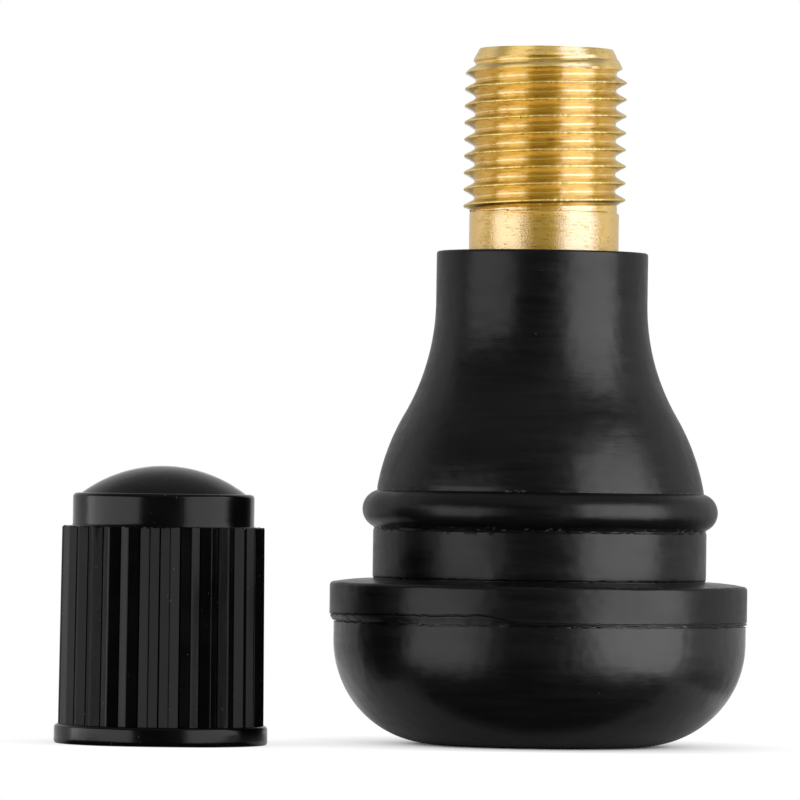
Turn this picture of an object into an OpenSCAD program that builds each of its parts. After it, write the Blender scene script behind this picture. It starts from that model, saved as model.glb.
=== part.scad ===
// Rubber snap-in tyre valve: a turned brass stem moulded into a rubber body, with a
// screw-in valve core inside the stem and a ribbed plastic dust cap standing beside it.
// Millimetres, +Z up along the stem. The origin is the middle of the rubber base.

/* [Rubber body] */
// Overall height of the valve, from the base to the stem's mouth
overall_h = 33; // [30:0.1:45]
// Diameter of the base button, below the parting line
base_d = 19.55; // [17:0.05:22]
// Height of the base button, from the underside to the parting line
base_h = 5.93; // [5:0.01:7]
// Radius of the rounded lower corner of the base button
base_corner_r = 4.9; // [3:0.1:5]
// How far the flange stands proud of the base button at the parting line
flange_step = 0.17; // [0.05:0.01:0.5]
// Thickness of the flange that seats inside the rim
flange_h = 1.73; // [1:0.01:3]
// Radius of the flange's upper edge
flange_edge_r = 0.2; // [0.1:0.05:0.4]
// Diameter of the groove that the rim snaps into
groove_d = 15.82; // [13:0.02:16.5]
// Width of the rim groove
groove_w = 2.6; // [2.2:0.1:5]
// How far the retaining bead stands proud of the groove
bead_proud = 0.52; // [0.2:0.01:0.9]
// Radius of the bead's round section
bead_r = 0.92; // [0.6:0.01:1.2]
// Diameter of the neck
neck_d = 10.04; // [9.4:0.02:11.5]
// Height of the straight neck, above the curved shoulder
neck_h = 2.4; // [1:0.1:6]
// Radius of the neck's upper edge
neck_edge_r = 0.12; // [0.05:0.01:0.3]
// Diameter of the air hole in the base
air_hole_d = 3.8; // [3.6:0.1:4.6]
// Width of the air hole's flared mouth
air_flare_d = 5.4; // [4.8:0.1:7]
// Depth of the air hole's flared mouth
air_flare_h = 0.8; // [0.4:0.1:1.5]

/* [Brass stem] */
// Diameter of the plain shank
shank_d = 7.12; // [6.9:0.02:7.4]
// Height of bare shank between the rubber and the thread
shank_h = 1.84; // [0.6:0.02:6]
// Outside diameter of the cap thread
thread_d = 7.7; // [7.5:0.02:8.2]
// Root diameter of the cap thread
thread_root_d = 6.7; // [6.5:0.02:6.9]
// Pitch of the cap thread
thread_pitch = 0.794; // [0.7:0.002:1]
// Width of the flat on each thread crest
thread_crest_w = 0.1; // [0.06:0.01:0.2]
// Height of the threaded end, from the shank to the mouth
thread_len = 7.8; // [7:0.1:10]
// Diameter of the stem's end face, at the tip of the thread's lead
tip_d = 6.3; // [6.1:0.05:6.5]
// Height of the plain lead above the first thread
lead_h = 0.55; // [0.3:0.05:0.8]
// Height of the stem's lower end above the base
foot_lift = 4.2; // [3:0.1:5]
// Diameter of the foot that anchors the stem in the rubber
foot_d = 8.4; // [7.8:0.1:9.5]
// Thickness of the foot
foot_h = 1.2; // [0.8:0.1:1.6]
// Diameter of the stem above the foot, inside the rubber
waist_d = 6; // [5.6:0.1:6.4]
// Length of the waist, from the foot to the shank
waist_h = 9; // [7:0.1:10]
// Diameter of the grip ribs on the waist
grip_d = 6.8; // [6.5:0.1:7.1]
// Number of grip ribs on the waist
grip_count = 3; // [2:1:4]
// Diameter of the air passage below the core
passage_d = 3.3; // [2.8:0.1:3.5]
// Bevel inside the stem's mouth
mouth_bevel = 0.3; // [0.1:0.05:0.4]

/* [Valve core] */
// Outside diameter of the core plug's thread
plug_d = 5.15; // [5:0.01:5.3]
// Radial clearance of the plug in the stem's chamber
plug_clearance = 0.08; // [0.04:0.01:0.12]
// Height of the plug's threaded part
plug_h = 3.4; // [3:0.1:4.5]
// Wall of the plug
plug_wall = 0.9; // [0.7:0.05:1]
// Width of the bridge that a core key grips
bridge_w = 2.2; // [1.9:0.05:2.6]
// Height of the bridge above the plug's thread
bridge_h = 1.4; // [1:0.1:1.6]
// Thickness of the bridge over the plug's bore
bridge_roof = 1; // [0.6:0.05:1.2]
// Thickness of the lip that holds the barrel in the plug
lip_h = 0.6; // [0.4:0.05:0.9]
// Running gap of the swivel, between the plug and the barrel
swivel_gap = 0.05; // [0.03:0.01:0.08]
// Height of the barrel's swivel head
head_h = 0.7; // [0.5:0.05:1]
// Diameter of the barrel's swivel neck
swivel_d = 2.6; // [2.5:0.02:2.8]
// Diameter of the barrel's collar, above the gasket
collar_d = 3.9; // [3.7:0.02:4.1]
// Height of the barrel's collar
collar_h = 1.1; // [0.8:0.1:1.5]
// Length of the gasket
gasket_h = 2; // [1.6:0.1:2.4]
// Upper diameter of the tapered gasket
gasket_top_d = 4.6; // [4.4:0.02:4.7]
// Lower diameter of the tapered gasket
gasket_low_d = 3.94; // [3.8:0.02:4]
// Diameter of the barrel under the gasket
gasket_seat_d = 3.1; // [3:0.02:3.3]
// Gap between the gasket and the stem's tapered seat
seat_gap = 0.04; // [0.02:0.01:0.06]
// Thickness of the rim that carries the gasket
rim_h = 0.4; // [0.3:0.05:0.6]
// Diameter of the rim that carries the gasket
rim_d = 3.5; // [3.4:0.02:3.6]
// Diameter of the barrel's lower tube
tube_d = 3.1; // [3:0.02:3.3]
// Length of the barrel's lower tube
tube_h = 3.8; // [3.4:0.1:5]
// Wall of the barrel's lower tube
tube_wall = 0.4; // [0.3:0.01:0.45]
// Thickness of the barrel's floor, which the spring stands on
floor_h = 0.8; // [0.6:0.05:1.2]
// Height of the sealing lip under the barrel
seal_lip_h = 0.3; // [0.2:0.05:0.5]
// Wall of the sealing lip under the barrel
seal_lip_wall = 0.3; // [0.2:0.02:0.35]
// Diameter of the pin
pin_d = 1.3; // [1.1:0.02:1.35]
// Depth of the pin's tip below the stem's mouth
pin_depth = 0.25; // [0.1:0.05:0.9]
// Height of the pin's tip above the bridge
pin_reach = 1.85; // [1.8:0.05:2.4]
// How far the pin is pushed to open the valve
pin_travel = 1.8; // [1:0.05:1.8]
// Radial air gap round the pin
air_gap = 0.25; // [0.2:0.01:0.27]
// Radial running gap of the pin in the bridge
pin_gap = 0.07; // [0.04:0.01:0.1]
// Thickness of the pin's collar, which the spring pushes
spring_collar_h = 0.45; // [0.3:0.05:0.7]
// Gap over the pin's collar when the valve is shut
spring_collar_gap = 0.15; // [0.05:0.05:0.3]
// Wire diameter of the spring
wire_d = 0.3; // [0.24:0.01:0.32]
// Number of turns of the spring
spring_turns = 7; // [5:0.5:8]
// Radial gap between the spring and the barrel
spring_gap = 0.05; // [0.03:0.01:0.08]
// Diameter of the cup below the barrel
cup_d = 3.2; // [3.1:0.02:3.4]
// Height of the cup
cup_h = 1.2; // [1:0.05:1.5]
// Wall of the cup
cup_wall = 0.22; // [0.15:0.01:0.25]
// Floor of the cup
cup_floor = 0.45; // [0.3:0.05:0.6]
// How far the seal stands proud of its cup
seal_proud = 0.25; // [0.15:0.05:0.4]
// Radial gap between the stem's chamber and the cup
cup_gap = 0.28; // [0.2:0.01:0.4]
// Diameter of the pin's riveted end
rivet_d = 1.9; // [1.7:0.05:2.2]
// Height of the pin's riveted end
rivet_h = 0.4; // [0.3:0.05:0.6]

/* [Dust cap] */
// Distance of the cap's axis to the left of the stem
cap_left = 17.7; // [15.5:0.1:40]
// Distance of the cap's axis in front of the stem
cap_front = 5; // [0:0.1:20]
// Diameter of the cap's lower flange
cap_flange_d = 10; // [9.8:0.05:11]
// Height of the cap's lower flange
cap_flange_h = 0.88; // [0.5:0.02:2]
// Radius of the flange's upper edge
cap_edge_r = 0.2; // [0.1:0.02:0.25]
// Diameter over the ribs at the flange
rib_d = 9.64; // [9.5:0.02:9.75]
// Depth of the grooves between the ribs
rib_depth = 0.26; // [0.1:0.01:0.35]
// Share of its width that the ribbed part keeps at its top
rib_draft = 0.985; // [0.97:0.001:1]
// Height of the ribbed part
rib_h = 9.24; // [8.6:0.02:12]
// Number of ribs round the cap
rib_count = 30; // [20:1:40]
// Diameter of the smooth crown above the ribs
crown_d = 8.5; // [8.2:0.02:8.7]
// Height of the smooth crown
crown_h = 1.56; // [1:0.02:3]
// Radius of the crown's upper edge
crown_edge_r = 0.2; // [0.1:0.02:0.3]
// Diameter of the dome where it meets the crown
dome_d = 7.7; // [7:0.05:7.8]
// Height of the dome
dome_h = 1.3; // [0.6:0.02:2]
// Diameter of the cap's threaded bore
cap_bore_d = 7.8; // [7.72:0.02:8]
// Depth of the cap's threaded bore
cap_bore_h = 9; // [8:0.1:9.6]
// Bevel inside the cap's mouth
cap_bevel = 0.35; // [0.1:0.05:0.5]
// Diameter of the sealing disc inside the cap
cap_seal_d = 7.4; // [7:0.05:7.6]
// Thickness of the sealing disc inside the cap
cap_seal_h = 1; // [0.6:0.05:1.4]

/* [Hidden] */
$fn = 96;

RUBBER = [0.07, 0.07, 0.075];
BRASS = [0.8, 0.6, 0.27];
PLASTIC = [0.05, 0.05, 0.052];
SEAL = [0.12, 0.1, 0.1];
STEEL = [0.72, 0.72, 0.74];

// Flat steps in a quarter turn of an outline's arc
ARC_STEPS = 12;
// Overshoot of a cut past the face that it opens
CUT = 1;
// Radial gap of a part pressed or moulded on another
SNUG = 0.01;

// Levels of the rubber body and the stem; the curved shoulder fills what the groove and the neck leave
flange_top_z = base_h + flange_h;
groove_top_z = flange_top_z + groove_w;
stem_top_z = overall_h;
shank_top_z = stem_top_z - thread_len;
neck_top_z = shank_top_z - shank_h;
neck_low_z = neck_top_z - neck_h;
foot_top_z = foot_lift + foot_h;
waist_top_z = foot_top_z + waist_h;

// Levels of the core, from the stem's mouth downwards
pin_top_z = stem_top_z - pin_depth;
bridge_top_z = pin_top_z - pin_reach;
plug_top_z = bridge_top_z - bridge_h;
plug_low_z = plug_top_z - plug_h;
head_low_z = plug_low_z + lip_h + swivel_gap;
head_top_z = head_low_z + head_h;
collar_top_z = plug_low_z - swivel_gap;
gasket_top_z = collar_top_z - collar_h;
gasket_low_z = gasket_top_z - gasket_h;
tube_top_z = gasket_low_z - rim_h;
tube_low_z = tube_top_z - tube_h;
seal_top_z = tube_low_z - seal_lip_h;
cup_top_z = seal_top_z - seal_proud;
cup_low_z = cup_top_z - cup_h;
pin_low_z = cup_low_z - rivet_h;
spring_low_z = tube_low_z + floor_h;
tube_roof_z = gasket_top_z;
spring_collar_top_z = tube_roof_z - spring_collar_gap;
spring_top_z = spring_collar_top_z - spring_collar_h;
chamber_low_z = pin_low_z - pin_travel - cup_gap;

// Radii that two or more pieces share
plug_bore_r = plug_d / 2 - plug_wall;
chamber_r = plug_d / 2 + plug_clearance;
air_r = pin_d / 2 + air_gap;
tube_bore_r = tube_d / 2 - tube_wall;
spring_r = tube_bore_r - spring_gap - wire_d / 2;
cup_bore_r = cup_d / 2 - cup_wall;
lower_chamber_r = cup_d / 2 + cup_gap;

// Levels of the cap, from its mouth upwards
rib_top_z = cap_flange_h + rib_h;
crown_top_z = rib_top_z + crown_h;

// Points of an arc about a centre, from one angle to another
function arc(centre, r, from, to) =
    let (steps = max(2, ceil(ARC_STEPS * abs(to - from) / 90)))
    [for (i = [0:steps])
        let (a = from + (to - from) * i / steps)
        centre + r * [cos(a), sin(a)]];

// Points of a double curve, upright at both ends, from a wide foot up to a narrow neck
function ogee(low, high) =
    let (
        run = low[0] - high[0],
        rise = high[1] - low[1],
        turn = 2 * atan(run / rise),
        r = rise / (2 * sin(turn)),
        lower = arc([low[0] - r, low[1]], r, 0, turn),
        upper = arc([high[0] + r, high[1]], r, 180 + turn, 180)
    )
    concat(lower, [for (i = [1:len(upper) - 1]) upper[i]]);

// Points of one thread or grip ridge in section, from below to above
function ridge(z, root_r, crest_r, crest_w, root_w) = [
    [root_r, z - root_w / 2],
    [crest_r, z - crest_w / 2],
    [crest_r, z + crest_w / 2],
    [root_r, z + root_w / 2],
];

// Outline of the rubber from its base to the neck's upper edge, right of the axis
function rubber_outline() =
    let (base_r = base_d / 2, flange_r = base_r + flange_step, neck_r = neck_d / 2)
    concat(
        [[0, 0]],
        arc([base_r - base_corner_r, base_corner_r], base_corner_r, -90, 0),
        [[base_r, base_h], [flange_r, base_h]],
        arc([flange_r - flange_edge_r, flange_top_z - flange_edge_r], flange_edge_r, 0, 90),
        [[groove_d / 2, flange_top_z]],
        ogee([groove_d / 2, groove_top_z], [neck_r, neck_low_z]),
        arc([neck_r - neck_edge_r, neck_top_z - neck_edge_r], neck_edge_r, 0, 90),
        [[0, neck_top_z]]
    );

// Outline of the stem inside the rubber, from the foot up to the bare shank
function stem_root() =
    let (rib_space = waist_h / (grip_count + 1), rib_w = grip_d - waist_d)
    concat(
        [[foot_d / 2, foot_lift], [foot_d / 2, foot_top_z], [waist_d / 2, foot_top_z]],
        [for (i = [1:grip_count])
            each ridge(foot_top_z + i * rib_space, waist_d / 2, grip_d / 2, rib_w / 2, rib_w)],
        [[waist_d / 2, waist_top_z], [shank_d / 2, waist_top_z + (shank_d - waist_d) / 2]]
    );

// Outline of the cap thread in section, from the shank up to the stem's end face
function stem_thread() =
    let (
        root_r = thread_root_d / 2,
        crest_r = thread_d / 2,
        lead_z = stem_top_z - lead_h,
        count = floor((thread_len - lead_h) / thread_pitch)
    )
    concat(
        [[shank_d / 2, shank_top_z], [root_r, shank_top_z]],
        [for (i = [0:count - 1])
            each ridge(lead_z - (count - i - 0.5) * thread_pitch, root_r, crest_r,
                thread_crest_w, thread_pitch - thread_crest_w)],
        [[root_r, lead_z], [tip_d / 2, stem_top_z]]
    );

// Outline of the stem's bore, from the mouth down to the foot
function stem_bore() =
    let (
        seat_top_r = gasket_top_d / 2 + seat_gap,
        seat_low_r = gasket_low_d / 2 + seat_gap
    )
    [
        [chamber_r + mouth_bevel, stem_top_z],
        [chamber_r, stem_top_z - mouth_bevel],
        [chamber_r, collar_top_z],
        [seat_top_r, collar_top_z],
        [seat_top_r, gasket_top_z],
        [seat_low_r, gasket_low_z],
        [lower_chamber_r, gasket_low_z],
        [lower_chamber_r, chamber_low_z],
        [passage_d / 2, chamber_low_z],
        [passage_d / 2, foot_lift],
    ];

// Rubber moulded round the stem, with the rim groove, the bead and the air hole
module rubber_body() {
    bead_inset = bead_r - bead_proud;
    bead_centre_r = groove_d / 2 - bead_inset;
    bead_centre_z = groove_top_z + sqrt(bead_r * bead_r - bead_inset * bead_inset);
    hole_top_z = foot_lift + foot_h / 2;
    color(RUBBER)
        rotate_extrude()
        difference() {
            union() {
                polygon(rubber_outline());
                translate([bead_centre_r, bead_centre_z]) circle(r = bead_r);
            }
            polygon(concat(
                [[0, foot_lift]],
                stem_root(),
                [[shank_d / 2, neck_top_z + CUT], [0, neck_top_z + CUT]]
            ));
            polygon([
                [0, -CUT], [air_flare_d / 2, -CUT], [air_flare_d / 2, 0],
                [air_hole_d / 2, air_flare_h], [air_hole_d / 2, hole_top_z], [0, hole_top_z],
            ]);
        }
}

// Turned brass stem: anchoring foot, shank, cap thread in section and core chamber
module brass_stem() {
    color(BRASS)
        rotate_extrude()
        polygon(concat(stem_root(), stem_thread(), stem_bore()));
}

// Threaded plug of the core, with the bridge that a key grips and a lip round the barrel
module core_plug() {
    slot_d = plug_d + CUT;
    color(BRASS)
        difference() {
            translate([0, 0, plug_low_z])
                cylinder(d = plug_d, h = bridge_top_z - plug_low_z);
            translate([0, 0, plug_low_z + lip_h])
                cylinder(r = plug_bore_r, h = bridge_top_z - bridge_roof - plug_low_z - lip_h);
            translate([0, 0, plug_low_z - CUT])
                cylinder(d = swivel_d + 2 * swivel_gap, h = lip_h + 2 * CUT);
            translate([0, 0, plug_top_z])
                cylinder(d = pin_d + 2 * pin_gap, h = bridge_h + CUT);
            for (side = [0, 180])
                rotate([0, 0, side])
                translate([-slot_d / 2, bridge_w / 2, plug_top_z])
                    cube([slot_d, slot_d, bridge_h + CUT]);
        }
}

// Barrel of the core: swivel head, collar, gasket rim, spring tube and sealing lip
module core_barrel() {
    head_r = plug_bore_r - swivel_gap;
    color(BRASS)
        rotate_extrude()
        polygon([
            [air_r, head_top_z], [head_r, head_top_z], [head_r, head_low_z],
            [swivel_d / 2, head_low_z], [swivel_d / 2, collar_top_z],
            [collar_d / 2, collar_top_z], [collar_d / 2, gasket_top_z],
            [gasket_seat_d / 2, gasket_top_z], [gasket_seat_d / 2, gasket_low_z],
            [rim_d / 2, gasket_low_z], [rim_d / 2, tube_top_z],
            [tube_d / 2, tube_top_z], [tube_d / 2, tube_low_z],
            [air_r + seal_lip_wall, tube_low_z], [air_r + seal_lip_wall, seal_top_z],
            [air_r, seal_top_z], [air_r, spring_low_z],
            [tube_bore_r, spring_low_z], [tube_bore_r, tube_roof_z],
            [air_r, tube_roof_z],
        ]);
}

// Tapered gasket that seals the barrel in the stem
module core_gasket() {
    inner_r = gasket_seat_d / 2 + SNUG;
    color(SEAL)
        rotate_extrude()
        polygon([
            [inner_r, gasket_low_z], [gasket_low_d / 2, gasket_low_z],
            [gasket_top_d / 2, gasket_top_z], [inner_r, gasket_top_z],
        ]);
}

// Pin with its spring collar, riveted under the cup
module core_pin() {
    pin_r = pin_d / 2;
    tip_edge_r = pin_r / 2;
    spring_collar_r = tube_bore_r - spring_gap;
    color(BRASS)
        rotate_extrude()
        polygon(concat(
            [[0, pin_low_z], [rivet_d / 2, pin_low_z], [rivet_d / 2, cup_low_z], [pin_r, cup_low_z]],
            [[pin_r, spring_top_z], [spring_collar_r, spring_top_z]],
            [[spring_collar_r, spring_collar_top_z], [pin_r, spring_collar_top_z]],
            arc([pin_r - tip_edge_r, pin_top_z - tip_edge_r], tip_edge_r, 0, 90),
            [[0, pin_top_z]]
        ));
}

// Coil spring between the barrel's floor and the pin's collar
module core_spring() {
    sides = 8;
    steps_per_turn = 20;
    low_z = spring_low_z + wire_d / 2;
    rise = spring_top_z - spring_low_z - wire_d;
    steps = round(spring_turns * steps_per_turn);
    points = [for (i = [0:steps], k = [0:sides - 1])
        let (
            a = 360 * spring_turns * i / steps,
            b = 360 * k / sides,
            r = spring_r + wire_d / 2 * cos(b)
        )
        [r * cos(a), r * sin(a), low_z + rise * i / steps + wire_d / 2 * sin(b)]];
    walls = [for (i = [0:steps - 1], k = [0:sides - 1])
        let (a = i * sides, b = a + sides, n = (k + 1) % sides)
        each [[a + k, b + k, b + n], [a + k, b + n, a + n]]];
    ends = [[for (k = [0:sides - 1]) k], [for (k = [0:sides - 1]) (steps + 1) * sides - 1 - k]];
    color(STEEL)
        polyhedron(points, concat(walls, ends));
}

// Cup that the pin pulls up against the barrel
module pin_cup() {
    hole_r = pin_d / 2 + SNUG;
    color(BRASS)
        rotate_extrude()
        polygon([
            [hole_r, cup_low_z], [cup_d / 2, cup_low_z], [cup_d / 2, cup_top_z],
            [cup_bore_r, cup_top_z], [cup_bore_r, cup_low_z + cup_floor], [hole_r, cup_low_z + cup_floor],
        ]);
}

// Rubber washer in the cup, which closes on the barrel's lip
module cup_seal() {
    hole_r = pin_d / 2 + SNUG;
    seal_low_z = cup_low_z + cup_floor;
    color(SEAL)
        translate([0, 0, seal_low_z])
        difference() {
            cylinder(r = cup_bore_r - SNUG, h = seal_top_z - seal_low_z);
            translate([0, 0, -CUT])
                cylinder(r = hole_r, h = seal_top_z - seal_low_z + 2 * CUT);
        }
}

// Places a piece of the cap where the cap stands
module at_cap() {
    translate([-cap_left, -cap_front, 0]) children();
}

// Star outline of the ribs: straight flanks between the crests and the grooves
module rib_star(crest_r) {
    flanks = 2 * rib_count;
    polygon([for (i = [0:flanks - 1])
        let (a = 360 * i / flanks - 90, r = crest_r - (i % 2 == 0 ? rib_depth : 0))
        r * [cos(a), sin(a)]]);
}

// Ribbed plastic cap, open below, with its flange, crown and dome
module dust_cap() {
    flange_r = cap_flange_d / 2;
    crown_r = crown_d / 2;
    bore_r = cap_bore_d / 2;
    dome_r = (dome_d * dome_d / 4 + dome_h * dome_h) / (2 * dome_h);
    dome_turn = asin(dome_d / 2 / dome_r);
    color(PLASTIC)
        at_cap()
        difference() {
            union() {
                rotate_extrude()
                    polygon(concat(
                        [[0, 0], [flange_r, 0]],
                        arc([flange_r - cap_edge_r, cap_flange_h - cap_edge_r], cap_edge_r, 0, 90),
                        [[crown_r, cap_flange_h]],
                        arc([crown_r - crown_edge_r, crown_top_z - crown_edge_r], crown_edge_r, 0, 90),
                        arc([0, crown_top_z + dome_h - dome_r], dome_r, 90 - dome_turn, 90)
                    ));
                translate([0, 0, cap_flange_h])
                    linear_extrude(height = rib_h, scale = rib_draft)
                    rib_star(rib_d / 2);
            }
            rotate_extrude()
                polygon([
                    [0, -CUT], [bore_r + cap_bevel + CUT, -CUT], [bore_r, cap_bevel], [bore_r, cap_bore_h],
                    [cap_seal_d / 2 + SNUG, cap_bore_h], [cap_seal_d / 2 + SNUG, cap_bore_h + cap_seal_h],
                    [0, cap_bore_h + cap_seal_h],
                ]);
        }
}

// Sealing disc pressed into the roof of the cap
module cap_seal() {
    color(SEAL)
        at_cap()
        translate([0, 0, cap_bore_h])
        cylinder(d = cap_seal_d, h = cap_seal_h);
}

rubber_body();
brass_stem();
core_plug();
core_barrel();
core_gasket();
core_pin();
core_spring();
pin_cup();
cup_seal();
dust_cap();
cap_seal();
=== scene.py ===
"""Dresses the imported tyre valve: rubber body, threaded brass stem, valve core and ribbed dust cap."""
import math

import bmesh
import bpy
import numpy as np
from mathutils import Matrix, Vector

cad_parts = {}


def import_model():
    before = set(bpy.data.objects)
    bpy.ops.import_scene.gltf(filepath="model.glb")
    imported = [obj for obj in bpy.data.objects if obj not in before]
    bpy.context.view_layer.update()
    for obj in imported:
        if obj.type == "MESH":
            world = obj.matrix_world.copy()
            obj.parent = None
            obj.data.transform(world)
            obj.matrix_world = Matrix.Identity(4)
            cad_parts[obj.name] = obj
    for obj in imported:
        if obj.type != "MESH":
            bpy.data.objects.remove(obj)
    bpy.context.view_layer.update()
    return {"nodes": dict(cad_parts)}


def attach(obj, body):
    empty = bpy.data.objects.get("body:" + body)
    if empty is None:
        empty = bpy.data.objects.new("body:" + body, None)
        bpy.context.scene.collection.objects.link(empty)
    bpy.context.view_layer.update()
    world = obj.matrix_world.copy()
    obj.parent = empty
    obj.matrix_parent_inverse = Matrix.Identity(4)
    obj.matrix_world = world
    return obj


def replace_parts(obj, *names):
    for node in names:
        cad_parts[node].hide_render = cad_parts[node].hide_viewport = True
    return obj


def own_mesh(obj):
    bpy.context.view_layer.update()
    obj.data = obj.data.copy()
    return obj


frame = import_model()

MM = 0.001
scene = bpy.context.scene
scene.view_settings.view_transform = "Standard"


# ------------------------------------------------ radii, heights and pitches, in millimetres

BASE_R, BASE_CORNER = 9.775, 4.9
BAND_R, BAND_LIMIT = 9.905, 9.944
PART_Z, FLANGE_TOP = 5.79, 7.63
GROOVE_R, GROOVE_Z = 7.91, 10.26
BEAD_R, BEAD_CR, BEAD_CZ = 0.92, 7.51, 11.09
CREASE_Z, SHOULDER_LOW = 12.01, 12.12
NECK_R, NECK_LOW, NECK_TOP = 5.02, 20.96, 23.36
SHANK_R, SHANK_TOP, STEM_TOP = 3.56, 25.2, 33.0
ROOT_R, ROOT_RIB_R = 3.0, 3.4
FOOT_R, FOOT_LOW, FOOT_TOP = 4.2, 4.2, 5.4
CHAMBER_R, CHAMBER_LOW = 2.655, 26.05
PASSAGE_R = 1.65
CAP_PITCH, CAP_CREST, CAP_ROOT, CAP_CREST_Z = 0.794, 3.85, 3.35, 25.103
CORE_PITCH, CORE_CREST_Z = 25.4 / 36, 26.0
CAP_FLANGE_H, CAP_RIB_Z, CAP_BORE = 0.88, 10.12, 3.9
CAP_X, CAP_Y = -17.7, -5.0
WELD = 2e-4


# ------------------------------------------------ mesh helpers, in millimetres

def arc(cr, cz, r, start, end, steps):
    """Points (radius, height) of an arc, angles in degrees."""
    turn = [math.radians(start + (end - start) * i / steps) for i in range(steps + 1)]
    return [(cr + r * math.cos(a), cz + r * math.sin(a)) for a in turn]


def line(start, end, steps):
    """Points (radius, height) from start to end."""
    (r0, z0), (r1, z1) = start, end
    return [(r0 + (r1 - r0) * i / steps, z0 + (z1 - z0) * i / steps) for i in range(steps + 1)]


def angles(columns):
    """Angles of a lathe's columns, in equal steps from 0."""
    return np.arange(columns) * 2 * math.pi / columns


def wobble(theta, seed, low, high):
    """Seamless noise round the axis, about -1 to 1, from waves of low to high cycles a turn."""
    rng = np.random.default_rng(seed)
    total = np.zeros_like(theta)
    for k in range(low, high + 1):
        total += rng.normal() * np.cos(k * theta + rng.uniform(0, 2 * math.pi))
    return total / math.sqrt(high - low + 1)


def plain(points, columns):
    """A section of a lathe with the same outline in every column."""
    p = np.array(points, float)
    return np.repeat(p[:, :1], columns, 1), np.repeat(p[:, 1:], columns, 1), 0


def rows(*pairs):
    """A section of a lathe from pairs of radius and height, each a number or one value per column."""
    size = max(np.size(v) for pair in pairs for v in pair)
    full = lambda v: np.broadcast_to(np.asarray(v, float), (size,))
    return np.stack([full(r) for r, _ in pairs]), np.stack([full(z) for _, z in pairs]), 0


def thread(profile, pitch, crest_z, z_low, z_high, columns, shape, beyond):
    """A helical section of a lathe, whose rows follow the helix, so that crests stay sharp.

    profile gives (share of the pitch, radius) over one pitch from a crest upwards, crest_z is a
    crest's height at angle 0, and shape(radius, height, angle) trims the radius. Rows past the
    ends take the end's height and the radius beyond, trimmed too."""
    theta = angles(columns)
    first = math.floor((z_low - crest_z) / pitch) - 2
    last = math.ceil((z_high - crest_z) / pitch) + 2
    turns = np.array([(t + f, r) for t in range(first, last) for f, r in profile])
    z = crest_z + pitch * (turns[:, :1] + theta[None, :] / (2 * math.pi))
    r = np.repeat(turns[:, 1:], columns, 1)
    a = np.repeat(theta[None, :], len(turns), 0)
    r = np.where((z < z_low) | (z > z_high), beyond, r)
    z = np.clip(z, z_low, z_high)
    return shape(r, z, a), z, len(profile)


def thread_profile(crest, root, half):
    """One pitch from a crest upwards, mirrored from its first half: points (share of the pitch,
    share of the depth)."""
    full = half + [(1 - f, v) for f, v in reversed(half[1:-1])]
    return [(f, root + (crest - root) * v) for f, v in full]


ROUND_ROOT = [(0.0, 1.0), (0.03, 0.99), (0.065, 0.95), (0.20, 0.58),
              (0.34, 0.20), (0.38, 0.105), (0.43, 0.035), (0.5, 0.0)]
PLAIN_ROOT = [(0.0, 1.0), (0.06, 0.95), (0.42, 0.06), (0.5, 0.0)]


def lathe(name, sections, closed, sharp=40.0):
    """Object from sections of (radius, height, seam shift) round the Z axis. A closed outline
    joins its last row to its first."""
    r = np.vstack([s[0] for s in sections])
    z = np.vstack([s[1] for s in sections])
    height, columns = r.shape
    theta = angles(columns)[None, :]
    verts = np.stack([r * np.cos(theta), r * np.sin(theta), z], -1).reshape(-1, 3)
    index = np.arange(height * columns).reshape(height, columns)
    right = np.roll(index, -1, 1)
    start = 0
    for s in sections:
        end = start + s[0].shape[0]
        right[start:end, -1] = index[np.clip(np.arange(start, end) + s[2], start, end - 1), 0]
        start = end
    faces = np.stack([index, right, np.roll(right, -1, 0), np.roll(index, -1, 0)], -1)
    return finish_mesh(name, verts, (faces if closed else faces[:-1]).reshape(-1, 4).tolist(), sharp)


def finish_mesh(name, verts, faces, sharp=40.0):
    """Object from points and faces in millimetres: doubles merged, normals outwards, and smooth
    but for edges of more than sharp degrees."""
    mesh = bpy.data.meshes.new(name)
    mesh.from_pydata(np.asarray(verts).tolist(), [], faces)
    bm = bmesh.new()
    bm.from_mesh(mesh)
    bmesh.ops.remove_doubles(bm, verts=bm.verts, dist=WELD)
    bmesh.ops.recalc_face_normals(bm, faces=bm.faces)
    bmesh.ops.scale(bm, vec=(MM, MM, MM), verts=bm.verts)
    bm.to_mesh(mesh)
    bm.free()
    mesh.polygons.foreach_set("use_smooth", [True] * len(mesh.polygons))
    mesh.set_sharp_from_angle(angle=math.radians(sharp))
    obj = bpy.data.objects.new(name, mesh)
    scene.collection.objects.link(obj)
    return obj


def join(main, *others):
    """Adds the meshes of other objects to main and removes them."""
    bm = bmesh.new()
    bm.from_mesh(main.data)
    for o in others:
        bm.from_mesh(o.data)
        bpy.data.objects.remove(o)
    bm.to_mesh(main.data)
    bm.free()
    return main


def helix(radius, turn, z):
    """Outward directions and points of a helix, at angles turn and heights z."""
    outwards = np.stack([np.cos(turn), np.sin(turn), 0 * turn], -1)
    return outwards, outwards * radius + np.stack([0 * turn, 0 * turn, z], -1)


def tube(name, centres, across, up, columns):
    """Object swept along a path: at each point, a closed outline spanned by two vectors."""
    turn = angles(columns)
    verts = (centres[:, None, :]
             + np.cos(turn)[None, :, None] * across[:, None, :]
             + np.sin(turn)[None, :, None] * up[:, None, :])
    count = len(centres)
    index = np.arange(count * columns).reshape(count, columns)
    right = np.roll(index, -1, 1)
    faces = np.stack([index[:-1], right[:-1], right[1:], index[1:]], -1).reshape(-1, 4).tolist()
    faces += [index[0].tolist()[::-1], index[-1].tolist()]
    return finish_mesh(name, verts.reshape(-1, 3), faces)


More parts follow.
